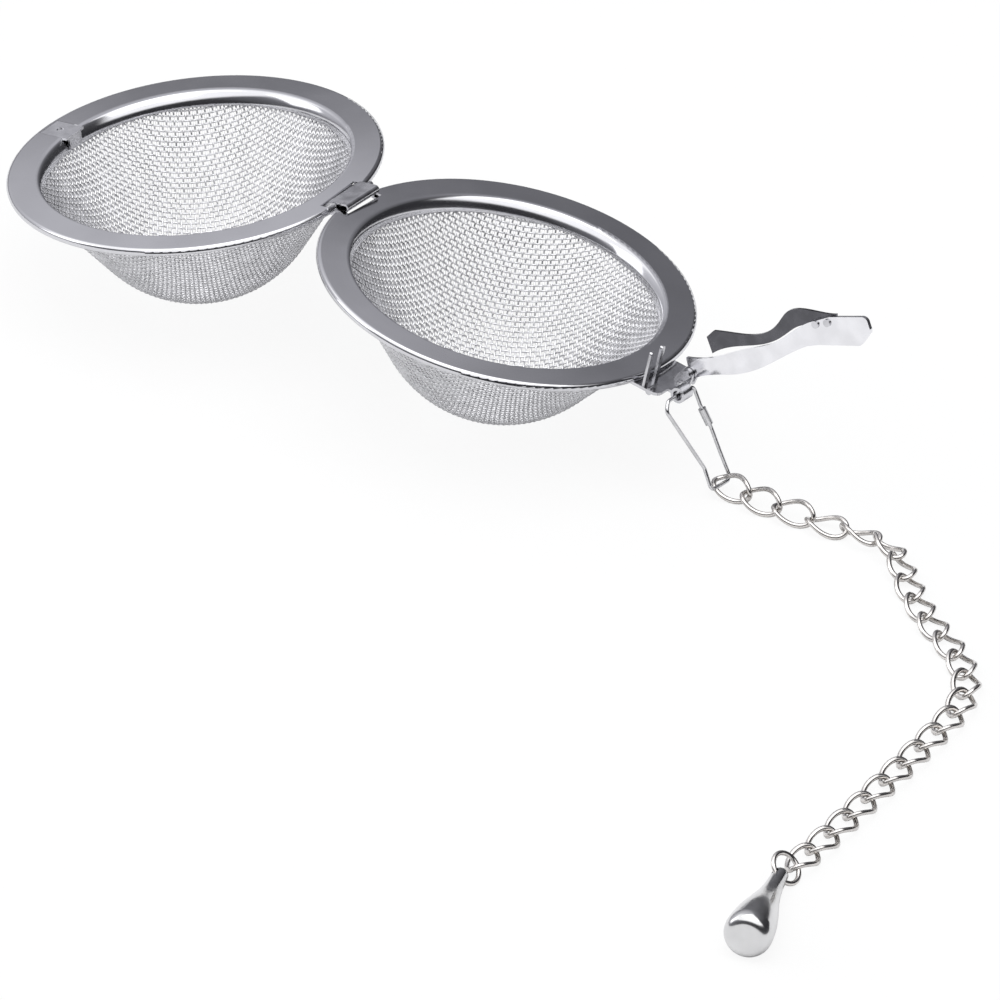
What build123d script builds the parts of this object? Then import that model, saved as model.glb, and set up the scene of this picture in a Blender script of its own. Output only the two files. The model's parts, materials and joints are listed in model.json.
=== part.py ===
"""Open mesh tea infuser: two hinged mesh bowls, a latch, a snap hook, a chain and a drop.

The two halves stand open: the hinge is the highest point, each bowl rests on its
nose, and the two rims slope away from the hinge like a low roof.  Units are
millimetres.  +Z is up, +X runs from the hinge to the latch, +Y along the hinge bar.

Each half is drawn in its own half frame (rim centre at the origin, mating face at
z = 0, open side up, +X away from the hinge), then set on the table.
"""
import os
from math import acos, asin, atan2, cos, degrees, hypot, pi, radians, sin

from build123d import *

# ---------------------------------------------------------------- driving sizes
RIM_R = 27.5            # outer radius of a rim
SHEET = 0.35            # rim sheet
FLANGE_IN_R = 22.9      # where the flange turns down into the collar
COLLAR_R = 22.375       # collar middle radius at its lower edge
COLLAR_H = 2.5          # collar height below the mating face
HEM_IN_R = 25.4         # inner edge of the folded-under hem
MESH_T = 0.44           # two wires thick
MESH_FIT = 0.03         # mesh to flange and hem, each side
COLLAR_FIT = 0.06       # mesh to collar
BOWL_DEPTH = 21.0       # mating face to nose
NOSE_R = 18.7           # outside radius of the bowl's nose

TILT = 7.75             # slope of each rim when open
SKEW = 3.45             # the hinge bar stands this far out of square
HINGE_OUT = 0.35        # hinge axis outside each rim's edge
MATE_GAP = 0.10         # left between the mating faces when shut

BAR_R = 0.34            # hinge bar
STRAP_T = 0.25
STRAP_W = 7.6
STRAP_FIT = 0.035       # bar to strap
STRAP_REACH = 2.3       # the strap's fold stands this far past the axis
WINDOW_SIDE = 0.30      # strap edge to window edge
EAR_W = 0.8

LATCH_Y = 0.60          # middle of the lever's plate
LEVER_T = 0.60
CATCH_T = 0.50
PLATE_FIT = 0.02        # lever to catch
PIVOT_X = 31.3
PIVOT_Z = 0.10
PIN_R = 0.45
PIN_FIT = 0.05
EAR_T = 0.55
EAR_R = 1.0
EAR_FIT = 0.10          # lever to bracket ears
BRACKET_T = 0.45
RIVET_R = 0.30

KEEPER_X0 = 22.9        # keeper plate in the upper flange
KEEPER_X1 = 26.6
KEEPER_W = 4.2
KEEPER_SIDE = 0.05      # keeper to its pocket
STEM_X0 = 23.9          # keeper's clinch through the mesh
STEM_X1 = 25.1
STEM_W = 1.8

BRACKET_X0 = 25.6
BRACKET_X1 = 30.6
BRACKET_Y0 = -6.1
BRACKET_Y1 = 3.7
PRONG_T = 0.4
PRONG_W = 0.9
PRONG_H = 4.3
PRONG_Y = (-5.5, -2.8)
PRONG_OUT = 0.25        # rim edge to prongs

CURL_R = 1.15           # rolled eye that carries the snap hook
CURL_BORE = 0.75
CURL_LEN = 2.3
CURL_X = 32.3
CURL_Y = -2.3
CURL_Z = -1.55
HOOK_WIRE = 0.55        # wire diameter
HOOK_LEN = 14.8         # eye to the bar that holds the chain
HOOK_LEAN = 24.1        # degrees out from straight down

LINK_COUNT = 23
LINK_WIRE = 0.75
LINK_PITCH = 5.2
LINK_SLACK = 0.24
LINK_W = 4.4            # outside width of a link
RING_R = 2.2            # jump ring, middle of wire
RING_WIRE = 0.7
DROP_LEN = 20.0
DROP_R = 3.3
DROP_END = 2.0          # length of the rounded end
DROP_HOLE = 0.70
NECK_R = 1.15
NECK_HOLE = 1.2         # tip to hole
DROP_LIFT = 0.05        # the drop lies sloping, so it touches ahead of its widest ring
LINK_ROLL = 45.0        # each link leans this way and that in turn
TABLE_FIT = 0.02        # lowest point of the chain above the table

# The chain's route on the table, from the snap hook to the jump ring: x, y.
ROUTE = [
    (67.45, -0.25), (78.0, -0.2), (86.5, 0.9), (91.6, 1.0), (96.4, -1.8),
    (102.2, -7.2), (109.6, -13.0), (117.6, -18.6), (122.6, -25.6),
    (124.8, -36.0), (126.4, -52.0), (127.8, -68.0), (128.4, -88.0),
]
DROP_SWING = 8.0       # the drop's way out of the ring, from the chain's heading

# Latch outlines in the half frame: x, z.
LEVER_TOP = [
    (30.3, 2.3), (33.8, 4.0), (38.7, 7.9), (43.3, 11.5), (46.4, 15.6), (48.9, 18.0),
]
TAB = [(50.6, 19.4), (56.1, 22.2), (57.4, 20.3), (56.4, 17.6), (50.0, 14.5)]
LEVER_UNDER = [(48.3, 13.4), (45.8, 10.8), (42.2, 6.7), (38.5, 3.7), (34.6, 1.6), (31.9, -0.6)]
CATCH_TOP = [
    (33.2, 8.0), (36.7, 9.3), (41.0, 11.6), (42.7, 14.0), (43.9, 16.8), (46.0, 18.1),
    (48.6, 18.9), (51.2, 19.9),
]
CATCH_UNDER = [
    (51.4, 18.8), (48.2, 16.8), (46.0, 15.3), (43.6, 12.1), (41.4, 10.0), (38.3, 8.1),
    (33.9, 4.6),
]

# ---------------------------------------------------------------- worked-out sizes
HEM_H = 2 * SHEET + MESH_T + 2 * MESH_FIT
AXIS_X = -(RIM_R + HINGE_OUT)
AXIS_Z = MATE_GAP / 2
STRAP_RISE = BAR_R + STRAP_FIT + STRAP_T / 2
WINDOW_W = STRAP_W + 2 * WINDOW_SIDE
WINDOW_END = AXIS_X + hypot(STRAP_REACH, STRAP_RISE + STRAP_T / 2) + 0.15
LEVER_Y0 = LATCH_Y - LEVER_T / 2
LEVER_Y1 = LATCH_Y + LEVER_T / 2
CATCH_Y0 = LEVER_Y1 + PLATE_FIT
CATCH_Y1 = CATCH_Y0 + CATCH_T
BRACKET_TOP = -HEM_H - 0.02
PRONG_X = RIM_R + PRONG_OUT
KEEPER_T = SHEET - 0.02
LINK_HALF = (LINK_PITCH + LINK_WIRE + LINK_SLACK) / 2
LINK_BEND = (LINK_W - LINK_WIRE) / 2
CHAIN_Z = LINK_BEND * sin(radians(LINK_ROLL)) + LINK_WIRE / 2 + TABLE_FIT
RING_Z = RING_R * sin(radians(LINK_ROLL)) + RING_WIRE / 2 + TABLE_FIT


def hinge_height():
    """Height of the hinge axis when both noses touch the table."""
    x = RIM_R + HINGE_OUT
    z = (NOSE_R - BOWL_DEPTH - AXIS_Z) * cos(radians(SKEW))
    return NOSE_R + x * sin(radians(TILT)) - z * cos(radians(TILT))


HINGE_Z = hinge_height()


def half_location(turn):
    """Places a half frame on the table; turn is 0 for the latch half, 180 for the other."""
    spin = Pos(0, 0, HINGE_Z) * Rot(0, 0, turn) * Rot(0, TILT, 0) * Rot(-SKEW, 0, 0)
    return spin * Pos(-AXIS_X, 0, -AXIS_Z)


LOWER = half_location(0)
UPPER = half_location(180)
HINGE = Pos(AXIS_X, 0, AXIS_Z) * Rot(SKEW, 0, 0)    # hinge bar's own frame in a half frame


# ---------------------------------------------------------------- small helpers
def side_face(face):
    """Stands a flat x, z sketch up in the XZ plane."""
    return Plane.XZ * face


def plate(outline, y0, y1):
    """Extrudes an x, z outline from y0 to y1."""
    solid = extrude(side_face(outline), amount=y1 - y0)
    return Pos(0, y1, 0) * solid


def box(x0, x1, y0, y1, z0, z1):
    """A box from its corner values."""
    block = Box(x1 - x0, y1 - y0, z1 - z0)
    return Pos((x0 + x1) / 2, (y0 + y1) / 2, (z0 + z1) / 2) * block


def rod_y(x, z, radius, y0, y1):
    """A round bar along Y."""
    return Pos(x, (y0 + y1) / 2, z) * (Rot(90, 0, 0) * Cylinder(radius, y1 - y0))


def sheet_face(points, bend, thick):
    """Bent sheet seen from its edge: a filleted path made thick."""
    path = FilletPolyline(*points, radius=bend)
    return make_face(offset(path, amount=thick / 2, side=Side.BOTH).edges())


# ---------------------------------------------------------------- one half
def rim_body():
    """Flange, collar and folded-under hem, turned about the bowl's axis."""
    mid = SHEET / 2
    low = -HEM_H + mid
    path = [
        (HEM_IN_R, low), (RIM_R - mid, low), (RIM_R - mid, -mid),
        (FLANGE_IN_R, -mid), (COLLAR_R, -COLLAR_H),
    ]
    return revolve(side_face(sheet_face(path, (HEM_H - SHEET) / 2 - 0.005, SHEET)), Axis.Z)


def bowl_edge(offset_in):
    """Bowl section from the collar's foot to the axis, offset inwards from the outside."""
    nose = NOSE_R - offset_in
    centre = -BOWL_DEPTH + NOSE_R
    top_r = COLLAR_R + SHEET / 2 + COLLAR_FIT + MESH_T - offset_in
    top_z = -COLLAR_H
    reach = hypot(top_r, top_z - centre)
    angle = atan2(top_z - centre, top_r) - acos(nose / reach)
    touch = (nose * cos(angle), centre + nose * sin(angle))
    half = (angle - pi / 2) / 2
    middle = (nose * cos(half), centre + nose * sin(half))
    return (top_r, top_z), touch, middle, (0, centre - nose)


def mesh_body():
    """Closed skin of the woven bowl with the flange that the hem grips."""
    hem_top = -SHEET - MESH_FIT
    hem_low = hem_top - MESH_T
    hem_r = RIM_R - SHEET - 0.45
    neck = FLANGE_IN_R + SHEET / 2 + COLLAR_FIT
    top_o, touch_o, mid_o, nose_o = bowl_edge(0)
    top_i, touch_i, mid_i, nose_i = bowl_edge(MESH_T)
    with BuildSketch() as section:
        with BuildLine():
            Polyline((hem_r, hem_top), (neck, hem_top), top_i, touch_i)
            ThreePointArc(touch_i, mid_i, nose_i)
            Line(nose_i, nose_o)
            ThreePointArc(nose_o, mid_o, touch_o)
            Polyline(touch_o, top_o, (neck + MESH_T, hem_low), (hem_r, hem_low), (hem_r, hem_top))
        make_face()
    return revolve(side_face(section.sketch), Axis.Z)


def window_cut(depth_to):
    """Room at the hinge for the strap's fold, through the whole hem."""
    return box(AXIS_X - 3, depth_to, -WINDOW_W / 2, WINDOW_W / 2, -HEM_H - 1, 1)


def lower_rim():
    """Latch-side rim with the hinge bar across its window."""
    rim = rim_body() - window_cut(WINDOW_END)
    inner = WINDOW_W / 2
    bar = rod_y(0, 0, BAR_R, -inner - EAR_W, inner + EAR_W)
    for side in (-1, 1):
        y0, y1 = sorted((side * inner, side * (inner + EAR_W)))
        bar += rod_y(0, 0, BAR_R + 0.1, y0, y1)
        rim += box(AXIS_X, AXIS_X + 1.4, y0, y1, -HEM_H + 0.1, -0.05)
    return rim + HINGE * bar


def upper_rim():
    """Plain-side rim, open at the hinge, with a pocket for the keeper."""
    half = KEEPER_W / 2 + KEEPER_SIDE
    pocket = box(20, KEEPER_X1 + KEEPER_SIDE, -half, half, -SHEET, 1)
    return rim_body() - window_cut(WINDOW_END) - pocket


def mesh_bowl(keeper):
    """Mesh bowl, cut away where the strap is gripped and where the keeper's stem passes."""
    clear = AXIS_X + 4.35
    mesh = mesh_body()
    mesh -= box(AXIS_X, clear, -WINDOW_W / 2 - 1, WINDOW_W / 2 + 1, -HEM_H, 0)
    if keeper:
        half = STEM_W / 2 + KEEPER_SIDE
        mesh -= box(STEM_X0 - KEEPER_SIDE, STEM_X1 + KEEPER_SIDE, -half, half, -HEM_H, 0)
    return mesh


# ---------------------------------------------------------------- hinge strap
def hinge_strap():
    """Strip held in the upper hem, folded back on itself round the lower rim's bar."""
    grip_z = -SHEET - 0.02 - STRAP_T / 2
    half = STRAP_W / 2
    end = -STRAP_REACH + STRAP_T / 2
    fold_path = [(1.0, STRAP_RISE), (end, STRAP_RISE), (end, -STRAP_RISE), (0.35, -STRAP_RISE)]
    fold = HINGE * plate(sheet_face(fold_path, STRAP_RISE - 0.01, STRAP_T), -half, half)
    leaf = box(AXIS_X + 2.4, AXIS_X + 4.2, -half, half, grip_z - STRAP_T / 2, grip_z + STRAP_T / 2)
    edge = Plane.YZ * Rectangle(STRAP_W, STRAP_T)
    slope = loft([HINGE * Pos(0.95, 0, STRAP_RISE) * edge, Pos(AXIS_X + 2.45, 0, grip_z) * edge])
    return fold + slope + leaf


# ---------------------------------------------------------------- keeper
def keeper():
    """Clinched plate flush in the upper flange; the catch presses on its back."""
    half = KEEPER_W / 2
    collar_in = COLLAR_R - SHEET / 2
    leg_x = collar_in - 0.05
    back_top = -SHEET - MESH_T - 2 * MESH_FIT - 0.02
    top = box(leg_x - 0.35, KEEPER_X1, -half, half, -KEEPER_T, -0.01)
    leg = box(leg_x - 0.35, leg_x, -half + 0.7, half - 0.7, -COLLAR_H + 0.3, -0.01)
    stem = box(STEM_X0, STEM_X1, -STEM_W / 2, STEM_W / 2, back_top - 0.4, -0.05)
    back = box(STEM_X0 - 0.15, HEM_IN_R - SHEET, -half + 0.3, half - 0.3, back_top - 0.4, back_top)
    dimple = Pos((STEM_X0 + STEM_X1) / 2, 0, 0) * Cylinder(0.55, 0.3)
    return top + leg + stem + back - dimple


# ---------------------------------------------------------------- latch
def ear_outline():
    """Side view of a bracket ear: a round head on a wide foot."""
    foot = BRACKET_TOP - BRACKET_T
    head = Pos(PIVOT_X, PIVOT_Z) * Circle(EAR_R)
    web = make_face(Polyline(
        (PIVOT_X - 2.2, foot), (PIVOT_X + 0.7, foot), (PIVOT_X + EAR_R, PIVOT_Z),
        (PIVOT_X - EAR_R * 0.7, PIVOT_Z + EAR_R * 0.7), (PIVOT_X - 2.2, foot),
    ))
    return head + web


def latch_bracket():
    """Plate under the hem with two ears, two guide prongs and a rolled eye."""
    low = BRACKET_TOP - BRACKET_T
    base = box(BRACKET_X0, BRACKET_X1, BRACKET_Y0, BRACKET_Y1, low, BRACKET_TOP)
    base = fillet(base.edges().filter_by(Axis.Z).group_by(Axis.X)[-1], 1.2)
    near0 = LEVER_Y0 - EAR_FIT - EAR_T
    far1 = LEVER_Y1 + EAR_FIT + EAR_T
    for y0 in (near0, far1 - EAR_T):
        base += plate(ear_outline(), y0, y0 + EAR_T)
    base -= rod_y(PIVOT_X, PIVOT_Z, PIN_R + 0.01, near0 - 1, far1 + 1)
    for y in PRONG_Y:
        prong = box(PRONG_X, PRONG_X + PRONG_T, y - PRONG_W / 2, y + PRONG_W / 2, low, PRONG_H)
        base += fillet(prong.edges().filter_by(Axis.X).group_by(Axis.Z)[-1], 0.4)
    y0, y1 = CURL_Y - CURL_LEN / 2, CURL_Y + CURL_LEN / 2
    base += rod_y(CURL_X, CURL_Z, CURL_R, y0, y1)
    base += box(BRACKET_X1 - 1, CURL_X, y0, y1, low, BRACKET_TOP)
    base += rod_y(BRACKET_X1 - 1.6, low + 0.1, 0.5, BRACKET_Y0 + 0.1, BRACKET_Y0 + 2.2)
    return base - rod_y(CURL_X, CURL_Z, CURL_BORE, y0 - 0.1, y1 + 0.1)


def rivet_places():
    """Where the two rivets join lever and catch: x, z."""
    return [(48.8, 17.3), (50.5, 18.4)]


def latch_lever():
    """Thin lever standing on edge: a rising arm with a broad thumb tab."""
    with BuildSketch() as outline:
        with BuildLine():
            Spline(*LEVER_TOP)
            Line(LEVER_TOP[-1], TAB[0])
            FilletPolyline(*TAB, radius=0.9)
            Line(TAB[-1], LEVER_UNDER[0])
            Spline(*LEVER_UNDER)
            Line(LEVER_UNDER[-1], LEVER_TOP[0])
        make_face()
    face = outline.sketch + Pos(PIVOT_X, PIVOT_Z) * Circle(EAR_R)
    body = plate(face, LEVER_Y0, LEVER_Y1)
    body -= rod_y(PIVOT_X, PIVOT_Z, PIN_R + PIN_FIT, LEVER_Y0 - 1, LEVER_Y1 + 1)
    for x, z in rivet_places():
        body -= rod_y(x, z, RIVET_R + 0.01, LEVER_Y0 - 1, LEVER_Y1 + 1)
    return body


def latch_catch():
    """Spring catch behind the lever: blunt nose, dip, hump and riveted tail."""
    with BuildSketch() as outline:
        with BuildLine():
            Spline(*CATCH_TOP)
            Line(CATCH_TOP[-1], CATCH_UNDER[0])
            Spline(*CATCH_UNDER)
            Polyline(CATCH_UNDER[-1], (32.4, 6.6), CATCH_TOP[0])
        make_face()
    body = plate(outline.sketch, CATCH_Y0, CATCH_Y1)
    for x, z in rivet_places():
        body -= rod_y(x, z, RIVET_R + 0.01, CATCH_Y0 - 1, CATCH_Y1 + 1)
    return body


def latch_pin():
    """Headed pin through both ears."""
    y0 = LEVER_Y0 - EAR_FIT - EAR_T
    y1 = LEVER_Y1 + EAR_FIT + EAR_T
    pin = rod_y(PIVOT_X, PIVOT_Z, PIN_R, y0 - 0.2, y1 + 0.2)
    pin += rod_y(PIVOT_X, PIVOT_Z, 0.75, y0 - 0.35, y0 - 0.02)
    return pin + rod_y(PIVOT_X, PIVOT_Z, 0.75, y1 + 0.02, y1 + 0.35)


def latch_rivets():
    """Two rivets through lever and catch."""
    solids = []
    for x, z in rivet_places():
        rivet = rod_y(x, z, RIVET_R, LEVER_Y0 - 0.1, CATCH_Y1 + 0.1)
        rivet += rod_y(x, z, 0.55, LEVER_Y0 - 0.25, LEVER_Y0 - 0.01)
        rivet += rod_y(x, z, 0.55, CATCH_Y1 + 0.01, CATCH_Y1 + 0.25)
        solids.append(rivet)
    return solids


# ---------------------------------------------------------------- snap hook
def hook_location():
    """Hook frame: origin in the eye, +X along the hinge bar's way, -Z down the hook."""
    eye = LOWER * Pos(CURL_X, CURL_Y, CURL_Z)
    here = eye.position
    return Pos(here.X, here.Y, here.Z) * Rot(-SKEW, 0, 0) * Rot(0, -HOOK_LEAN, 0) * Rot(0, 0, 90)


HOOK_POINTS = [
    (-3.5, 0.0), (-4.4, -1.3), (-1.6, -7.2), (0.4, -11.4), (0.6, -HOOK_LEN),
    (5.5, -HOOK_LEN), (4.8, -10.6), (4.3, -6.7), (3.3, -3.0), (2.9, 0.0),
]
SLEEVE_AT = (3.78, -4.8)


def wire_loop(points, bend, wire):
    """Round wire bent to a closed loop in the local XZ plane."""
    path = FilletPolyline(*[(x, 0, z) for x, z in points], radius=bend, close=True)
    start = path.edges()[0]
    disc = Plane(origin=start @ 0.5, z_dir=start % 0.5) * Circle(wire / 2)
    return sweep(disc, path=path)


def snap_hook():
    """One bent wire: top bar in the eye, two legs, foot bar for the chain."""
    return hook_location() * wire_loop(HOOK_POINTS, 0.85, HOOK_WIRE)


def hook_sleeve():
    """Crimped sleeve where the wire's two ends meet on the right leg."""
    a, b = (3.3, -3.0), (4.3, -6.7)
    lean = degrees(atan2(b[0] - a[0], a[1] - b[1]))
    tube = Cylinder(0.58, 2.6) - Cylinder(HOOK_WIRE / 2 + 0.01, 3)
    return hook_location() * (Pos(SLEEVE_AT[0], 0, SLEEVE_AT[1]) * Rot(0, -lean, 0) * tube)


# ---------------------------------------------------------------- chain
def stadium(half, bend, wire):
    """Round wire bent to a stadium in the local XY plane."""
    straight = half - bend
    if straight < 0.01:
        return Torus(bend, wire / 2)
    body = None
    for side in (-1, 1):
        arm = Pos(0, side * bend, 0) * (Rot(0, 90, 0) * Cylinder(wire / 2, 2 * straight))
        profile = Plane(origin=(0, -bend, 0), z_dir=(1, 0, 0)) * Circle(wire / 2)
        end = revolve(profile, Axis((0, 0, 0), (0, 0, 1)), revolution_arc=180)
        end = Pos(side * straight, 0, 0) * (Rot(0, 0, 0 if side > 0 else 180) * end)
        body = arm + end if body is None else body + arm + end
    return body


def route_points():
    """Centre and heading of each link: equal steps along the smooth route."""
    curve = Spline(*[(x, y, 0) for x, y in ROUTE])
    places = []
    for i in range(LINK_COUNT):
        at = i * LINK_PITCH / curve.length
        point = curve @ at
        tangent = curve % at
        places.append((point.X, point.Y, degrees(atan2(tangent.Y, tangent.X))))
    return places


def link_location(i):
    """Place of link i on the table, rolled one way or the other in turn."""
    x, y, heading = route_points()[i]
    roll = LINK_ROLL if i % 2 == 0 else -LINK_ROLL
    return Pos(x, y, CHAIN_Z) * Rot(0, 0, heading) * Rot(roll, 0, 0)


def chain_link(i):
    """One placed chain link."""
    return link_location(i) * stadium(LINK_HALF, LINK_BEND, LINK_WIRE)


def ring_location():
    """Place of the jump ring, one short step past the last link."""
    x, y, heading = route_points()[LINK_COUNT - 1]
    step = LINK_HALF - LINK_WIRE / 2 - RING_WIRE / 2 - LINK_SLACK / 2 + RING_R
    a = radians(heading)
    roll = LINK_ROLL if LINK_COUNT % 2 == 0 else -LINK_ROLL
    return Pos(x + step * cos(a), y + step * sin(a), RING_Z) * Rot(0, 0, heading) * Rot(roll, 0, 0)


def jump_ring():
    """Round ring between the chain and the drop."""
    return ring_location() * Torus(RING_R, RING_WIRE / 2)


def drop_location():
    """Drop frame: origin at its hole, +X from tip to fat end, hole along Y."""
    roll = radians(LINK_ROLL if LINK_COUNT % 2 == 0 else -LINK_ROLL)
    out_z = sin(radians(DROP_SWING)) * sin(roll)
    fat = DROP_LEN - NECK_HOLE - DROP_END
    want = (DROP_R + DROP_LIFT + TABLE_FIT - RING_Z - RING_R * out_z) / fat
    rise = asin(want / hypot(out_z, cos(roll))) - atan2(out_z, cos(roll))
    return ring_location() * Rot(0, 0, DROP_SWING) * Pos(RING_R, 0, 0) * Rot(0, -degrees(rise), 0)


def drop_weight():
    """Turned drop: a thin drilled neck that widens evenly to a blunt, rounded end."""
    fat = DROP_LEN - NECK_HOLE - DROP_END
    end = DROP_LEN - NECK_HOLE
    with BuildSketch() as half:
        with BuildLine():
            Line((-NECK_HOLE, 0), (-NECK_HOLE, NECK_R * 0.7))
            Spline((-NECK_HOLE, NECK_R * 0.7), (0, NECK_R), (fat * 0.5, DROP_R * 0.62), (fat, DROP_R),
                   tangents=[(0.5, 1), (1, 0.04)])
            Spline((fat, DROP_R), (end, DROP_R * 0.5), tangents=[(1, 0), (0, -1)])
            Polyline((end, DROP_R * 0.5), (end, 0), (-NECK_HOLE, 0))
        make_face()
    body = revolve(half.sketch, Axis.X)
    hole = Rot(90, 0, 0) * Cylinder(DROP_HOLE, 6)
    return drop_location() * (body - hole)


# ---------------------------------------------------------------- nodes
def table_nodes():
    """Every node's name and solid, with the hinge above the origin."""
    made = {
        "lower_rim": LOWER * lower_rim(),
        "lower_mesh_bowl": LOWER * mesh_bowl(False),
        "upper_rim": UPPER * upper_rim(),
        "upper_mesh_bowl": UPPER * mesh_bowl(True),
        "hinge_strap": UPPER * hinge_strap(),
        "keeper": UPPER * keeper(),
        "latch_bracket": LOWER * latch_bracket(),
        "latch_pin": LOWER * latch_pin(),
        "latch_lever": LOWER * latch_lever(),
        "latch_catch": LOWER * latch_catch(),
        "latch_rivets": Compound([LOWER * rivet for rivet in latch_rivets()]),
        "snap_hook": snap_hook(),
        "hook_sleeve": hook_sleeve(),
        "jump_ring": jump_ring(),
        "drop_weight": drop_weight(),
    }
    for i in range(LINK_COUNT):
        made[f"chain_link_{i + 1:02d}"] = chain_link(i)
    return made


def origin_shift(made):
    """Moves the origin to the middle of the ball and latch, at table height."""
    loose = ("snap_hook", "hook_sleeve", "jump_ring", "drop_weight", "chain_link")
    size = Compound([solid for name, solid in made.items() if not name.startswith(loose)]).bounding_box()
    return Pos(-(size.min.X + size.max.X) / 2, -(size.min.Y + size.max.Y) / 2, 0)


def main():
    os.makedirs("parts", exist_ok=True)
    made = table_nodes()
    shift = origin_shift(made)
    for name, solid in made.items():
        export_step(shift * solid, f"parts/{name}.step")


if __name__ == "__main__":
    main()
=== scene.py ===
"""Looks of an open mesh tea infuser: woven wire bowls, polished steel and a studio stage.

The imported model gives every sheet-metal and wire part its shape.  This script
weaves the two wire bowls, gives each part its steel, and sets the stage.
Sizes are in millimetres in the panel and become metres at MM.
"""
import json
import math

import bpy
from bpy.props import FloatProperty, FloatVectorProperty, PointerProperty
from mathutils import Matrix, Vector


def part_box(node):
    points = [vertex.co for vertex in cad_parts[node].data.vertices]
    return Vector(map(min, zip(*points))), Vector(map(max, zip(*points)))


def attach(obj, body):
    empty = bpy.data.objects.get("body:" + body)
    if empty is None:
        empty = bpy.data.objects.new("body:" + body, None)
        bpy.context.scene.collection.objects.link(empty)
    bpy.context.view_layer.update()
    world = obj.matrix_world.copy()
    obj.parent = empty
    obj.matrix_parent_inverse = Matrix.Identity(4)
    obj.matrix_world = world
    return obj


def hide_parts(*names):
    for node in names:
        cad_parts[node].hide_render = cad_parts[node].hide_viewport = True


bl_info = {
    "name": "Tea Infuser Looks",
    "version": (1, 0, 0),
    "blender": (4, 5, 0),
    "location": "3D View > Sidebar > Infuser",
    "description": "Weaves the wire bowls, finishes the steel and sets the stage",
    "category": "Object",
}

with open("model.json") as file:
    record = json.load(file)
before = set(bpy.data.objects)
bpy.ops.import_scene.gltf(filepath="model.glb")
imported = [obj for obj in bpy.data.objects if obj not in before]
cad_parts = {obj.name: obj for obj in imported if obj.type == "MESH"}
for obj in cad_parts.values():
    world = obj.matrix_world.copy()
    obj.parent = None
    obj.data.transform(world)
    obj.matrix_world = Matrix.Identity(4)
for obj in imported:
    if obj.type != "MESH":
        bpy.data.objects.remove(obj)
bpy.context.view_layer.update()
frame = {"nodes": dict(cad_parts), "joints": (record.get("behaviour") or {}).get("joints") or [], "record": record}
MM = 0.001


def joint_place(name):
    """Where a joint's axis stands, in metres."""
    joint = next(j for j in frame["joints"] if j["name"] == name)
    return Vector(joint["pos_m"])


def slot_colour(slot):
    """The record's base colour for a material slot."""
    for entry in frame["record"]["materials"]:
        if entry["slot"] == slot:
            return tuple(entry["base_color"])
    raise RuntimeError(f"the record has no slot {slot}")


# ---------------------------------------------------------------- settings
class InfuserBallSettings(bpy.types.PropertyGroup):
    """Sizes of one half of the ball."""

    rim_radius: FloatProperty(
        name="Rim radius", description="Outer radius of a rim", default=27.5, min=15, max=45)
    collar_radius: FloatProperty(
        name="Collar radius", description="Middle of the wire cloth at the collar's foot",
        default=22.83, min=10, max=40)
    neck_radius: FloatProperty(
        name="Neck radius", description="Where the cloth turns out under the flange",
        default=23.355, min=10, max=40)
    collar_height: FloatProperty(
        name="Collar height", description="Depth of the collar below the mating face",
        default=2.5, min=0.5, max=6)
    cloth_drop: FloatProperty(
        name="Cloth drop", description="Middle of the gripped cloth below the mating face",
        default=0.60, min=0.2, max=2)
    cloth_half: FloatProperty(
        name="Cloth half thickness", description="Outside of the cloth to its middle",
        default=0.22)
    cloth_edge: FloatProperty(
        name="Cloth edge", description="Radius at which the wires end inside the hem",
        default=26.4, min=20, max=40)
    bowl_depth: FloatProperty(
        name="Bowl depth", description="Mating face to the bowl's nose", default=21.0, min=8, max=40)
    nose_radius: FloatProperty(
        name="Nose radius", description="Outside radius of the bowl's round nose",
        default=18.7, min=8, max=40)
    tilt: FloatProperty(
        name="Tilt", description="Slope of each rim when the ball stands open",
        default=math.radians(7.75), subtype="ANGLE")
    skew: FloatProperty(
        name="Skew", description="How far the hinge bar stands out of square",
        default=math.radians(3.45), subtype="ANGLE")
    hinge_out: FloatProperty(
        name="Hinge offset", description="Hinge axis outside each rim's edge", default=0.35)
    mate_gap: FloatProperty(
        name="Mating gap", description="Left between the mating faces when shut", default=0.10)


class InfuserClothSettings(bpy.types.PropertyGroup):
    """The woven wire cloth."""

    wire: FloatProperty(name="Wire", description="Diameter of one wire", default=0.27, min=0.05)
    weave: FloatProperty(
        name="Weave", description="A wire rises this far over the cloth's middle", default=0.10)
    pitch: FloatProperty(
        name="Pitch", description="From one wire to the next", default=0.77, min=0.3)
    lower_turn: FloatProperty(
        name="Lower weave turn", description="Turn of the cloth in the latch half",
        default=math.radians(30), subtype="ANGLE")
    upper_turn: FloatProperty(
        name="Upper weave turn", description="Turn of the cloth in the plain half",
        default=math.radians(38), subtype="ANGLE")
    window_depth: FloatProperty(
        name="Window depth", description="The cloth is cut away this far in from the hinge axis",
        default=4.5)
    window_half: FloatProperty(
        name="Window half width", description="Half width of the cut at the hinge", default=5.2)


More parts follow.
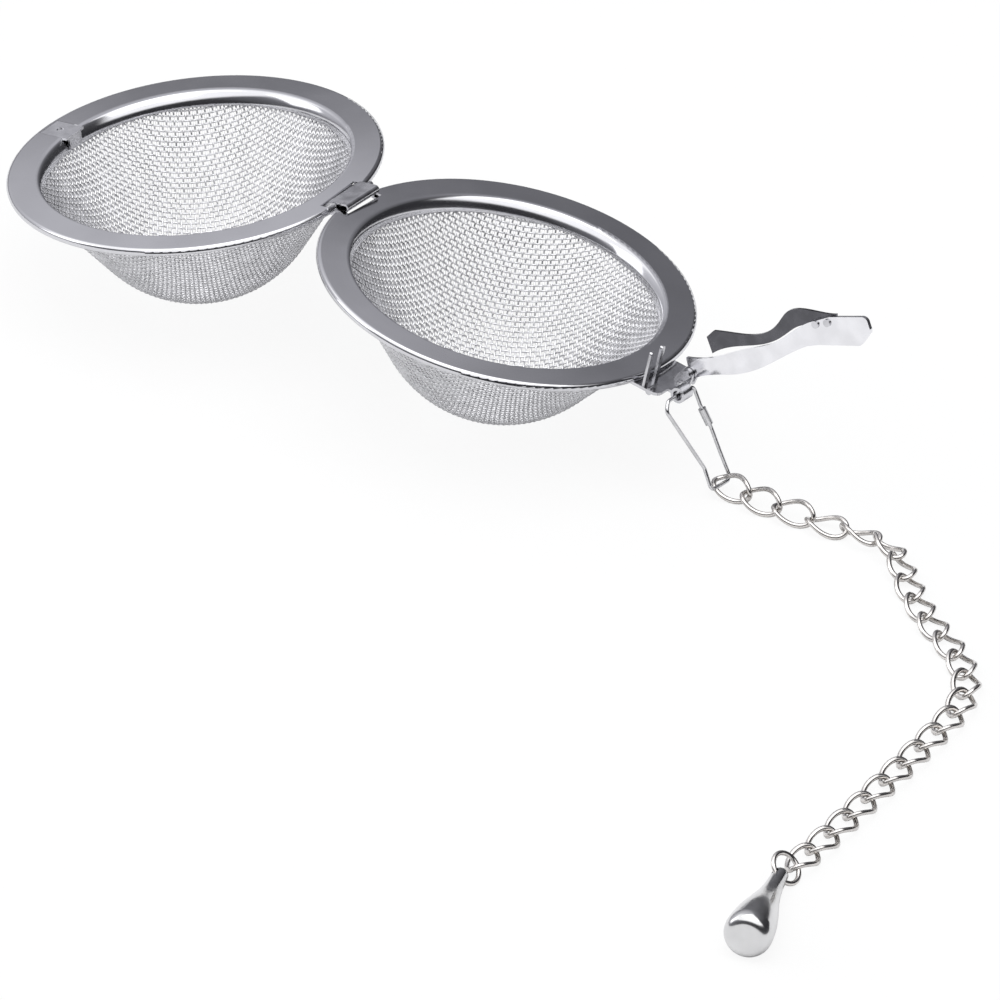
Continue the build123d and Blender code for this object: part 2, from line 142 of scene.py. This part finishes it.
class InfuserFinishSettings(bpy.types.PropertyGroup):
    """Colours of the finishes."""

    rim: FloatVectorProperty(
        name="Rim steel", description="Polished sheet", subtype="COLOR",
        default=slot_colour("rim_steel"))
    cloth: FloatVectorProperty(
        name="Wire cloth", description="Woven bright wire", subtype="COLOR",
        default=slot_colour("mesh_steel"))
    strap: FloatVectorProperty(
        name="Strap steel", description="Stamped strip at the hinge", subtype="COLOR",
        default=slot_colour("strap_steel"))
    bracket: FloatVectorProperty(
        name="Bracket steel", description="Latch bracket, pin and rivets", subtype="COLOR",
        default=slot_colour("latch_steel"))
    lever: FloatVectorProperty(
        name="Lever steel", description="Polished lever and thumb tab", subtype="COLOR",
        default=slot_colour("lever_steel"))
    # The catch's darker colour is painted shade: its strip faces away from the light, while the lever faces up and
    # out.
    catch: FloatVectorProperty(
        name="Catch steel", description="Darker spring steel", subtype="COLOR",
        default=slot_colour("catch_steel"))
    hook: FloatVectorProperty(
        name="Hook wire", description="Drawn wire of the snap hook", subtype="COLOR",
        default=slot_colour("wire_steel"))
    chain: FloatVectorProperty(
        name="Chain", description="Bright plated chain wire", subtype="COLOR",
        default=slot_colour("chain_steel"))
    drop: FloatVectorProperty(
        name="Drop", description="Turned drop at the chain's end", subtype="COLOR",
        default=slot_colour("drop_steel"))


class InfuserStageSettings(bpy.types.PropertyGroup):
    """Camera and lights."""

    camera_target: FloatVectorProperty(
        name="Camera target", description="Point the camera looks at, in millimetres",
        default=(15.31, -5.0, -11.52), subtype="XYZ")
    camera_away: FloatProperty(
        name="Camera distance", description="From the target, in millimetres", default=1428.0)
    camera_azimuth: FloatProperty(
        name="Camera azimuth", description="0 looks along +Y", default=math.radians(33.534),
        subtype="ANGLE")
    camera_elevation: FloatProperty(
        name="Camera elevation", description="Above the table", default=math.radians(30.547),
        subtype="ANGLE")
    camera_roll: FloatProperty(
        name="Camera roll", description="The camera leans this way about its view",
        default=math.radians(2.911), subtype="ANGLE")
    lens: FloatProperty(name="Lens", description="Focal length", default=360.0)
    floor_size: FloatProperty(
        name="Floor size", description="Side of the floor, in metres", default=6.0, unit="LENGTH")
    key_power: FloatProperty(
        name="Key light", description="Power of the big overhead light, in watts", default=3.2)
    fill_power: FloatProperty(
        name="Fill light", description="Power of the side light, in watts", default=1.2)


# ---------------------------------------------------------------- places
def hinge_matrix(turn):
    """From a half's own frame to the stand: 0 is the latch half, half a turn the plain one."""
    ball = bpy.context.scene.infuser_ball
    return (
        Matrix.Translation(joint_place("ball_hinge"))
        @ Matrix.Rotation(turn, 4, "Z")
        @ Matrix.Rotation(ball.tilt, 4, "Y")
        @ Matrix.Rotation(-ball.skew, 4, "X")
        @ Matrix.Translation(Vector((
            (ball.rim_radius + ball.hinge_out) * MM, 0, -ball.mate_gap / 2 * MM)))
    )


LATCH_TURN = 0.0
PLAIN_TURN = math.pi


# ---------------------------------------------------------------- the cloth's shape
NOSE_STEPS = 40         # short lines round the bowl's nose in its section
KEEPER_CUT = 1.1        # half width of the cut at the keeper's stem
NEAREST = 1e-6          # stands in for no distance at all from the nose


def bowl_section():
    """Middle line of the pressed cloth from nose to edge: radius, height and run length."""
    ball = bpy.context.scene.infuser_ball
    round_r = ball.nose_radius - ball.cloth_half
    centre = ball.nose_radius - ball.bowl_depth
    reach = math.hypot(ball.collar_radius, -ball.collar_height - centre)
    lift = math.atan2(-ball.collar_height - centre, ball.collar_radius)
    touch = lift - math.acos(round_r / reach)
    points = []
    for k in range(NOSE_STEPS + 1):
        a = -math.pi / 2 + (touch + math.pi / 2) * k / NOSE_STEPS
        points.append((round_r * math.cos(a), centre + round_r * math.sin(a)))
    points.append((ball.collar_radius, -ball.collar_height))
    points.append((ball.neck_radius, -ball.cloth_drop))
    points.append((ball.cloth_edge, -ball.cloth_drop))

    run = 0.0
    section = [(*points[0], run)]
    for a, b in zip(points, points[1:]):
        run += math.hypot(b[0] - a[0], b[1] - a[1])
        section.append((*b, run))
    return section


def pressed(section, u, v, off=0.0):
    """Where a point of the flat cloth lies once pressed, raised off the cloth's middle."""
    along = max(math.hypot(u, v), NEAREST)
    k = 0
    while k < len(section) - 2 and section[k + 1][2] < along:
        k += 1
    (radius_a, height_a, run_a), (radius_b, height_b, run_b) = section[k:k + 2]
    share = (along - run_a) / (run_b - run_a)
    slope = math.atan2(height_b - height_a, radius_b - radius_a)
    radius = radius_a + (radius_b - radius_a) * share - off * math.sin(slope)
    height = height_a + (height_b - height_a) * share + off * math.cos(slope)
    return Vector((radius * u / along, radius * v / along, height))


def turned(point, turn):
    """A point of the flat cloth turned about the nose."""
    return (point.x * math.cos(turn) - point.y * math.sin(turn),
            point.x * math.sin(turn) + point.y * math.cos(turn))


def cut_away(place, keeper):
    """True where the cloth is cut for the hinge strap or the keeper's stem."""
    ball = bpy.context.scene.infuser_ball
    cloth = bpy.context.scene.infuser_cloth
    if math.hypot(place.x, place.y) < ball.collar_radius:
        return False
    hinge = -(ball.rim_radius + ball.hinge_out)
    if place.x < hinge + cloth.window_depth and abs(place.y) < cloth.window_half:
        return True
    return keeper and place.x > 0 and abs(place.y) < KEEPER_CUT


# ---------------------------------------------------------------- modelling helpers
def deselect():
    """Leaves edit mode and selects nothing."""
    if bpy.context.object and bpy.context.object.mode != "OBJECT":
        bpy.ops.object.mode_set(mode="OBJECT")
    bpy.ops.object.select_all(action="DESELECT")


def pick(obj):
    """Makes obj the only selected and active object."""
    deselect()
    obj.select_set(True)
    bpy.context.view_layer.objects.active = obj


def delete_where(kind, parts, unwanted):
    """Deletes the active mesh's edges or vertices for which unwanted is true."""
    bpy.ops.object.mode_set(mode="EDIT")
    bpy.ops.mesh.select_mode(type=kind)
    bpy.ops.mesh.select_all(action="DESELECT")
    bpy.ops.object.mode_set(mode="OBJECT")
    for part in getattr(bpy.context.object.data, parts):
        part.select = unwanted(part)
    bpy.ops.object.mode_set(mode="EDIT")
    bpy.ops.mesh.delete(type=kind)
    bpy.ops.object.mode_set(mode="OBJECT")


# ---------------------------------------------------------------- the woven wires
CLOTH_ROUND = 1         # steps in a quarter of a cloth wire's round


def wire_set(name, lift, turn, place, keeper):
    """One set of parallel wires woven over and under, pressed into the bowl."""
    cloth = bpy.context.scene.infuser_cloth
    section = bowl_section()
    edge = section[-1][2]
    half = cloth.pitch / 2
    count = int(edge / cloth.pitch) * 2
    side = count * cloth.pitch
    deselect()
    bpy.ops.mesh.primitive_grid_add(x_subdivisions=2 * count, y_subdivisions=count, size=side)
    obj = bpy.context.object
    obj.name = name
    obj.data.name = name

    # keep the edges that run along X, within the cloth's round edge
    def crosses(line):
        a, b = (obj.data.vertices[end].co for end in line.vertices)
        return abs(a.y - b.y) > half

    def outside(vert):
        u, v = turned(vert.co, turn)
        return math.hypot(u, v) > edge or cut_away(pressed(section, u, v), keeper)

    delete_where("EDGE", "edges", crosses)
    delete_where("VERT", "vertices", outside)

    # weave, then press
    for vert in obj.data.vertices:
        row = round((vert.co.y + side / 2) / cloth.pitch)
        step = round((vert.co.x + side / 2) / half)
        swing = (1 if (row + step // 2) % 2 else -1) if step % 2 == 0 else 0
        woven = pressed(section, *turned(vert.co, turn), lift * swing * cloth.weave)
        vert.co = place @ (woven * MM)

    # round wire
    pick(obj)
    bpy.ops.object.convert(target="CURVE")
    obj = bpy.context.object
    obj.data.bevel_depth = cloth.wire / 2 * MM
    obj.data.bevel_resolution = CLOTH_ROUND
    obj.data.use_fill_caps = True
    bpy.ops.object.convert(target="MESH")
    bpy.ops.object.shade_smooth()
    obj = bpy.context.object
    obj.name = name
    return obj


# ---------------------------------------------------------------- the chain's shape
LINK_COUNT = 23
LINK_HALF = 3.095       # half length of a link at the middle of its wire
LINK_SIDE = 1.825       # half width at the middle of its wire
LINK_WIRE = 0.75
LINK_TWIST = math.radians(90)       # one end against the other
LINK_LEANS = (45, 42, 34, 10, -20, -28, -16)    # degrees, from the hook; the rest lie flat
LINK_REST = 0.02        # kept above the table
LINK_STEPS = 9          # steps in a quarter of a link's way round
LINK_ROUND = 3          # steps in a quarter of its wire's round


def link_middle(number):
    """Middle of a packed chain link, in metres."""
    low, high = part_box(f"chain_link_{number:02d}")
    return (low + high) / 2


def curb_link(name, middle, heading, lean):
    """One oval of round wire, twisted end against end and laid on the table."""
    deselect()
    bpy.ops.curve.primitive_bezier_circle_add(radius=1.0)
    obj = bpy.context.object
    obj.name = name
    obj.scale = (LINK_HALF * MM, LINK_SIDE * MM, MM)
    bpy.ops.object.transform_apply(location=False, rotation=False, scale=True)
    obj.data.dimensions = "3D"
    for point in obj.data.splines[0].bezier_points:
        point.radius = 1.0
    obj.data.resolution_u = LINK_STEPS
    obj.data.bevel_depth = LINK_WIRE / 2 * MM
    obj.data.bevel_resolution = LINK_ROUND
    bpy.ops.object.convert(target="MESH")
    obj = bpy.context.object
    twist = obj.modifiers.new("twist", "SIMPLE_DEFORM")
    twist.deform_method = "TWIST"
    twist.deform_axis = "X"
    twist.angle = LINK_TWIST
    bpy.ops.object.modifier_apply(modifier=twist.name)
    obj.matrix_world = (Matrix.Translation(middle) @ Matrix.Rotation(heading, 4, "Z")
                        @ Matrix.Rotation(lean, 4, "X"))
    bpy.ops.object.transform_apply(location=True, rotation=True, scale=True)
    lowest = min(vert.co.z for vert in obj.data.vertices)
    obj.location.z = LINK_REST * MM - lowest
    bpy.ops.object.transform_apply(location=True, rotation=False, scale=False)
    bpy.ops.object.shade_smooth()
    return obj


# ---------------------------------------------------------------- shader helpers
def add_node(tree, kind, inputs=None, **settings):
    """A new shader node; each input is a number, a colour or another node's output."""
    node = tree.nodes.new(kind)
    for key, value in settings.items():
        setattr(node, key, value)
    for socket, value in (inputs or {}).items():
        if isinstance(value, bpy.types.NodeSocket):
            tree.links.new(value, node.inputs[socket])
        else:
            node.inputs[socket].default_value = value
    return node


def add_math(tree, operation, *inputs):
    """The result of a Math node."""
    node = add_node(tree, "ShaderNodeMath", dict(enumerate(inputs)), operation=operation)
    return node.outputs["Value"]


def add_range(tree, value, low, high, to_low=0.0, to_high=1.0, interpolation="LINEAR"):
    """A value carried from one range to another."""
    node = add_node(tree, "ShaderNodeMapRange", {
        "Value": value, "From Min": low, "From Max": high, "To Min": to_low, "To Max": to_high,
    }, interpolation_type=interpolation)
    return node.outputs["Result"]


def add_ramp(tree, value, stops, interpolation="LINEAR"):
    """A colour ramp through its stops, each a position and a colour."""
    node = add_node(tree, "ShaderNodeValToRGB", {"Fac": value})
    ramp = node.color_ramp
    ramp.interpolation = interpolation
    for end, (position, colour) in zip(ramp.elements, (stops[0], stops[-1])):
        end.position = position
        end.color = (*colour, 1)
    for position, colour in stops[1:-1]:
        ramp.elements.new(position).color = (*colour, 1)
    return node.outputs["Color"]


def empty_tree(owner):
    """The cleared node tree of a material or world."""
    owner.use_nodes = True
    owner.node_tree.nodes.clear()
    return owner.node_tree


# ---------------------------------------------------------------- steels
STAIN_FROM, STAIN_TO = 0.35, 0.65   # share of the clouds between dark and light steel
GLOSS_FROM, GLOSS_TO = 0.3, 0.7     # share of the clouds between smooth and rough steel
CLOUD_DETAIL = 4.0
GRAIN_DETAIL = 3.0
GRAIN_FINER = 6         # the grain is this much finer than the clouds
LEAST_ROUGH = 0.02
GRAIN_DEPTH = 0.002
TURN_LINES = 4000.0     # turned lines in a metre
SWEEP_LINES = 3.0       # breaks in those lines in a radian
RIM_DISH = 0.07         # the pressed flange slopes this much down and outwards
COLLAR_BOW = 0.75       # slope at the top of the collar's rounded face
COLLAR_FOOT = 2.3       # where that face stands upright, below the mating face
COLLAR_TO = 23.6        # the collar lies within this radius


def steel(name, colour, rough, spread, stain, scale, half=None):
    """Bare metal with faint stains and uneven gloss; half turns fine lines round a rim."""
    material = bpy.data.materials.new(name)
    tree = empty_tree(material)
    coord = add_node(tree, "ShaderNodeTexCoord").outputs["Object"]
    clouds = add_node(tree, "ShaderNodeTexNoise", {
        "Vector": coord, "Scale": scale, "Detail": CLOUD_DETAIL}).outputs["Fac"]
    dark = [c * (1 - stain) for c in colour]
    light = [min(1.0, c * (1 + stain)) for c in colour]
    if half is None:
        height = grain_depth(tree, coord, scale * GRAIN_FINER)
    else:
        height = rim_height(tree, coord, half)
    relief = add_node(tree, "ShaderNodeBump", {
        "Height": height, "Strength": 1.0, "Distance": 1.0})
    surface = add_node(tree, "ShaderNodeBsdfPrincipled", {
        "Metallic": 1.0,
        "Base Color": add_ramp(tree, clouds, ((STAIN_FROM, dark), (STAIN_TO, light))),
        "Roughness": add_range(tree, clouds, GLOSS_FROM, GLOSS_TO,
                               max(LEAST_ROUGH, rough - spread), rough + spread),
        "Normal": relief.outputs["Normal"],
    })
    add_node(tree, "ShaderNodeOutputMaterial", {"Surface": surface.outputs["BSDF"]})
    return material


def grain_depth(tree, vector, scale, dimensions="3D"):
    """Height of the fine grain, in metres."""
    grain = add_node(tree, "ShaderNodeTexNoise", {
        "Vector": vector, "Scale": scale, "Detail": GRAIN_DETAIL}, noise_dimensions=dimensions)
    return add_math(tree, "MULTIPLY", grain.outputs["Fac"], GRAIN_DEPTH * MM)


def rim_height(tree, coord, half):
    """Height of a rim's turned lines, dished flange and rounded collar, in metres."""
    own = add_node(tree, "ShaderNodeMapping", {
        "Vector": coord, "Location": half.to_translation(), "Rotation": half.to_euler("XYZ"),
    }, vector_type="TEXTURE")
    x, y, z = add_node(tree, "ShaderNodeSeparateXYZ", {"Vector": own.outputs["Vector"]}).outputs
    flat = add_node(tree, "ShaderNodeCombineXYZ", {"X": x, "Y": y})
    radius = add_node(tree, "ShaderNodeVectorMath", {0: flat.outputs["Vector"]},
                      operation="LENGTH").outputs["Value"]
    turns = add_node(tree, "ShaderNodeCombineXYZ", {
        "X": add_math(tree, "MULTIPLY", radius, TURN_LINES),
        "Y": add_math(tree, "MULTIPLY", add_math(tree, "ARCTAN2", y, x), SWEEP_LINES),
    })
    lines = grain_depth(tree, turns.outputs["Vector"], 1.0, "2D")
    dished = add_math(tree, "MULTIPLY_ADD", radius, -RIM_DISH, lines)

    # the collar's top leans back and its foot stands upright
    foot = COLLAR_FOOT * MM
    rise = add_math(tree, "ADD", z, foot)
    bow = add_math(tree, "SUBTRACT", foot * foot, add_math(tree, "MULTIPLY", rise, rise))
    inside = add_math(tree, "LESS_THAN", radius, COLLAR_TO * MM)
    collar = add_math(tree, "MULTIPLY", bow, inside)
    return add_math(tree, "MULTIPLY_ADD", collar, COLLAR_BOW / (2 * foot), dished)


def finish_node(name, material):
    """Gives a carried-over part its steel."""
    obj = frame["nodes"][name]
    obj.data.materials.clear()
    obj.data.materials.append(material)


# ---------------------------------------------------------------- operators
class INFUSER_OT_woven_bowls(bpy.types.Operator):
    """Weave the wire cloth of both bowls"""

    bl_idname = "infuser.woven_bowls"
    bl_label = "Woven Bowls"

    def execute(self, context):
        cloth = context.scene.infuser_cloth
        finish = context.scene.infuser_finish
        wire = steel("woven_wire", finish.cloth, 0.26, spread=0.08, stain=0.10, scale=420)
        halves = (
            ("lower", LATCH_TURN, cloth.lower_turn, "latch_half", False),
            ("upper", PLAIN_TURN, cloth.upper_turn, "plain_half", True),
        )
        for side, turn, weave, body, keeper in halves:
            place = hinge_matrix(turn)
            for kind, lift, more in (("warp", 1, 0.0), ("weft", -1, math.pi / 2)):
                obj = wire_set(f"{side}_{kind}_wires", lift, weave + more, place, keeper)
                obj.data.materials.clear()
                obj.data.materials.append(wire)
                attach(obj, body)
                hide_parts(f"{side}_mesh_bowl")
        return {"FINISHED"}


class INFUSER_OT_rims(bpy.types.Operator):
    """Polished rims with turned lines"""

    bl_idname = "infuser.rims"
    bl_label = "Rims"

    def execute(self, context):
        finish = context.scene.infuser_finish
        for node, turn in (("lower_rim", LATCH_TURN), ("upper_rim", PLAIN_TURN)):
            material = steel(f"{node}_sheet", finish.rim, 0.13, spread=0.04, stain=0.05,
                             scale=90, half=hinge_matrix(turn))
            finish_node(node, material)
        return {"FINISHED"}


class INFUSER_OT_hinge(bpy.types.Operator):
    """Stamped strap and keeper"""

    bl_idname = "infuser.hinge"
    bl_label = "Hinge Strap and Keeper"

    def execute(self, context):
        finish = context.scene.infuser_finish
        strap = steel("stamped_strip", finish.strap, 0.22, spread=0.08, stain=0.12, scale=500)
        finish_node("hinge_strap", strap)
        finish_node("keeper", strap)
        return {"FINISHED"}


class INFUSER_OT_latch(bpy.types.Operator):
    """Bracket, lever and spring catch"""

    bl_idname = "infuser.latch"
    bl_label = "Latch"

    def execute(self, context):
        finish = context.scene.infuser_finish
        bracket = steel("bracket_steel", finish.bracket, 0.2, spread=0.07, stain=0.1, scale=400)
        lever = steel("lever_steel", finish.lever, 0.12, spread=0.05, stain=0.06, scale=300)
        # The catch takes a darker colour than the lever as painted shade of a strip that faces away from the
        # light.
        catch = steel("spring_steel", finish.catch, 0.24, spread=0.08, stain=0.15, scale=450)
        for node in ("latch_bracket", "latch_pin", "latch_rivets"):
            finish_node(node, bracket)
        finish_node("latch_lever", lever)
        finish_node("latch_catch", catch)
        return {"FINISHED"}


class INFUSER_OT_hook(bpy.types.Operator):
    """Snap hook and its sleeve"""

    bl_idname = "infuser.hook"
    bl_label = "Snap Hook"

    def execute(self, context):
        finish = context.scene.infuser_finish
        wire = steel("hook_wire", finish.hook, 0.18, spread=0.06, stain=0.08, scale=600)
        finish_node("snap_hook", wire)
        finish_node("hook_sleeve", wire)
        return {"FINISHED"}


class INFUSER_OT_chain(bpy.types.Operator):
    """Chain, jump ring and drop"""

    bl_idname = "infuser.chain"
    bl_label = "Chain and Drop"

    def execute(self, context):
        finish = context.scene.infuser_finish
        plated = steel("chain_plate", finish.chain, 0.15, spread=0.06, stain=0.12, scale=350)
        drop = steel("drop_steel", finish.drop, 0.16, spread=0.05, stain=0.08, scale=250)
        finish_node("jump_ring", plated)
        places = [link_middle(k) for k in range(1, LINK_COUNT + 1)]
        for k in range(LINK_COUNT):
            ahead = places[min(k + 1, LINK_COUNT - 1)] - places[max(k - 1, 0)]
            lean = LINK_LEANS[k] if k < len(LINK_LEANS) else 0
            link = curb_link(f"curb_link_{k + 1:02d}", places[k], math.atan2(ahead.y, ahead.x),
                             math.radians(lean))
            link.data.materials.append(plated)
            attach(link, f"link_{k + 1:02d}")
            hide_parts(f"chain_link_{k + 1:02d}")
        finish_node("drop_weight", drop)
        return {"FINISHED"}


class INFUSER_OT_stage(bpy.types.Operator):
    """Floor, lights, sky and camera"""

    bl_idname = "infuser.stage"
    bl_label = "Stage"

    def execute(self, context):
        stage = context.scene.infuser_stage
        make_floor(stage)
        make_sky(context.scene)
        make_lights(stage)
        make_camera(stage)
        context.scene.view_settings.view_transform = "Standard"
        return {"FINISHED"}


FLOOR_GREY = (0.86, 0.86, 0.86, 1)
FLOOR_WHITE = 0.90      # share of plain white in the floor as seen; the rest takes the shadow
WHITE = (1, 1, 1, 1)


def make_floor(stage):
    """A plain white floor that keeps the shadow."""
    deselect()
    bpy.ops.mesh.primitive_plane_add(size=stage.floor_size, location=(0, 0, 0))
    floor = bpy.context.object
    floor.name = "floor"
    material = bpy.data.materials.new("floor_paper")
    tree = empty_tree(material)
    paper = add_node(tree, "ShaderNodeBsdfDiffuse", {"Color": FLOOR_GREY})
    white = add_node(tree, "ShaderNodeEmission", {"Strength": 1.0})
    path = add_node(tree, "ShaderNodeLightPath")
    mix = add_node(tree, "ShaderNodeMixShader", {
        "Fac": add_math(tree, "MULTIPLY", path.outputs["Is Camera Ray"], FLOOR_WHITE),
        1: paper.outputs["BSDF"],
        2: white.outputs["Emission"],
    })
    add_node(tree, "ShaderNodeOutputMaterial", {"Surface": mix.outputs["Shader"]})
    floor.data.materials.append(material)


# Grey of the studio walls against height less the way to the right.
WALL_LEAN = 0.85
WALL_LOW = -1.0
WALL_HIGH = 1.5
WALLS = (
    (WALL_LOW, (0.10, 0.10, 0.105)),
    (-0.40, (0.04, 0.04, 0.045)),
    (0.10, (0.06, 0.06, 0.065)),
    (0.40, (0.13, 0.13, 0.14)),
    (0.62, (0.17, 0.17, 0.185)),
    (0.78, (0.23, 0.23, 0.25)),
    (1.02, (0.66, 0.66, 0.70)),
    (WALL_HIGH, (1.2, 1.2, 1.25)),
)


# A white canopy over the front of the studio, by height and by depth.
CANOPY_LOW = 0.50
CANOPY_HIGH = 0.62
CANOPY_BACK = 0.35
CANOPY_FRONT = 0.10
CANOPY_COLOUR = (1.5, 1.5, 1.52, 1)


def make_sky(scene):
    """White to the eye; a studio of pale ceiling and grey walls to the metal."""
    world = bpy.data.worlds.new("studio")
    scene.world = world
    tree = empty_tree(world)
    coord = add_node(tree, "ShaderNodeTexCoord").outputs["Generated"]
    x, y, z = add_node(tree, "ShaderNodeSeparateXYZ", {"Vector": coord}).outputs
    lean = add_math(tree, "MULTIPLY_ADD", x, -WALL_LEAN, z)
    stops = [((place - WALL_LOW) / (WALL_HIGH - WALL_LOW), colour) for place, colour in WALLS]
    walls = add_ramp(tree, add_range(tree, lean, WALL_LOW, WALL_HIGH), stops, "EASE")
    canopy = add_math(
        tree, "MULTIPLY",
        add_range(tree, z, CANOPY_LOW, CANOPY_HIGH, interpolation="SMOOTHSTEP"),
        add_range(tree, y, CANOPY_BACK, CANOPY_FRONT, interpolation="SMOOTHSTEP"))
    blend = add_node(tree, "ShaderNodeMix", {
        "Factor": canopy, "A": walls, "B": CANOPY_COLOUR}, data_type="RGBA")
    studio = add_node(tree, "ShaderNodeBackground", {
        "Color": blend.outputs["Result"], "Strength": 1.0})
    plain = add_node(tree, "ShaderNodeBackground", {"Color": WHITE, "Strength": 1.0})
    path = add_node(tree, "ShaderNodeLightPath")
    mix = add_node(tree, "ShaderNodeMixShader", {
        "Fac": path.outputs["Is Camera Ray"],
        1: studio.outputs["Background"],
        2: plain.outputs["Background"],
    })
    add_node(tree, "ShaderNodeOutputWorld", {"Surface": mix.outputs["Shader"]})


# Each lamp's place, in metres, and the side of its square. Both look at the origin.
KEY_PLACE, KEY_SIDE = (0.10, -0.05, 0.90), 0.9
FILL_PLACE, FILL_SIDE = (-0.75, -0.45, 0.45), 0.5


def make_lights(stage):
    """A broad light overhead and a softer one from the left."""
    lamps = (
        ("key", stage.key_power, KEY_PLACE, KEY_SIDE),
        ("fill", stage.fill_power, FILL_PLACE, FILL_SIDE),
    )
    for name, power, where, side in lamps:
        deselect()
        bpy.ops.object.light_add(type="AREA", location=where)
        lamp = bpy.context.object
        lamp.name = name
        lamp.data.energy = power
        lamp.data.size = side
        lamp.rotation_euler = (-Vector(where)).to_track_quat("-Z", "Y").to_euler()


SENSOR = 36.0           # sensor width, in millimetres
CAMERA_NEAR, CAMERA_FAR = 0.05, 20.0    # in metres


def make_camera(stage):
    """The camera, placed by its angles round the target."""
    azimuth, elevation = stage.camera_azimuth, stage.camera_elevation
    back = Vector((
        math.sin(azimuth) * math.cos(elevation),
        -math.cos(azimuth) * math.cos(elevation),
        math.sin(elevation),
    ))
    deselect()
    place = (Vector(stage.camera_target) + back * stage.camera_away) * MM
    bpy.ops.object.camera_add(location=place)
    camera = bpy.context.object
    camera.data.lens = stage.lens
    camera.data.sensor_width = SENSOR
    camera.data.clip_start = CAMERA_NEAR
    camera.data.clip_end = CAMERA_FAR
    level = (-back).to_track_quat("-Z", "Y").to_matrix().to_4x4()
    lean = Matrix.Rotation(stage.camera_roll, 4, "Z")
    camera.rotation_euler = (level @ lean).to_euler()
    bpy.context.scene.camera = camera


# ---------------------------------------------------------------- panel
class INFUSER_PT_panel(bpy.types.Panel):
    """Buttons for each group of pieces"""

    bl_idname = "INFUSER_PT_panel"
    bl_label = "Tea Infuser"
    bl_space_type = "VIEW_3D"
    bl_region_type = "UI"
    bl_category = "Infuser"

    def draw(self, context):
        column = self.layout.column()
        for item in STEPS:
            column.operator(item.bl_idname)
        for settings in ("infuser_ball", "infuser_cloth", "infuser_finish", "infuser_stage"):
            group = getattr(context.scene, settings)
            box = self.layout.box()
            for key in group.__annotations__:
                box.prop(group, key)


SETTINGS = {
    "infuser_ball": InfuserBallSettings,
    "infuser_cloth": InfuserClothSettings,
    "infuser_finish": InfuserFinishSettings,
    "infuser_stage": InfuserStageSettings,
}
STEPS = (
    INFUSER_OT_woven_bowls,
    INFUSER_OT_rims,
    INFUSER_OT_hinge,
    INFUSER_OT_latch,
    INFUSER_OT_hook,
    INFUSER_OT_chain,
    INFUSER_OT_stage,
)


def register():
    """Adds the settings, the operators and the panel."""
    for name, group in SETTINGS.items():
        bpy.utils.register_class(group)
        setattr(bpy.types.Scene, name, PointerProperty(type=group))
    for item in STEPS:
        bpy.utils.register_class(item)
    bpy.utils.register_class(INFUSER_PT_panel)


def unregister():
    """Takes everything out again."""
    bpy.utils.unregister_class(INFUSER_PT_panel)
    for item in reversed(STEPS):
        bpy.utils.unregister_class(item)
    for name, group in SETTINGS.items():
        delattr(bpy.types.Scene, name)
        bpy.utils.unregister_class(group)


def main():
    """Builds the looks step by step."""
    register()
    bpy.ops.infuser.woven_bowls()
    bpy.ops.infuser.rims()
    bpy.ops.infuser.hinge()
    bpy.ops.infuser.latch()
    bpy.ops.infuser.hook()
    bpy.ops.infuser.chain()
    bpy.ops.infuser.stage()


if __name__ == "__main__":
    main()
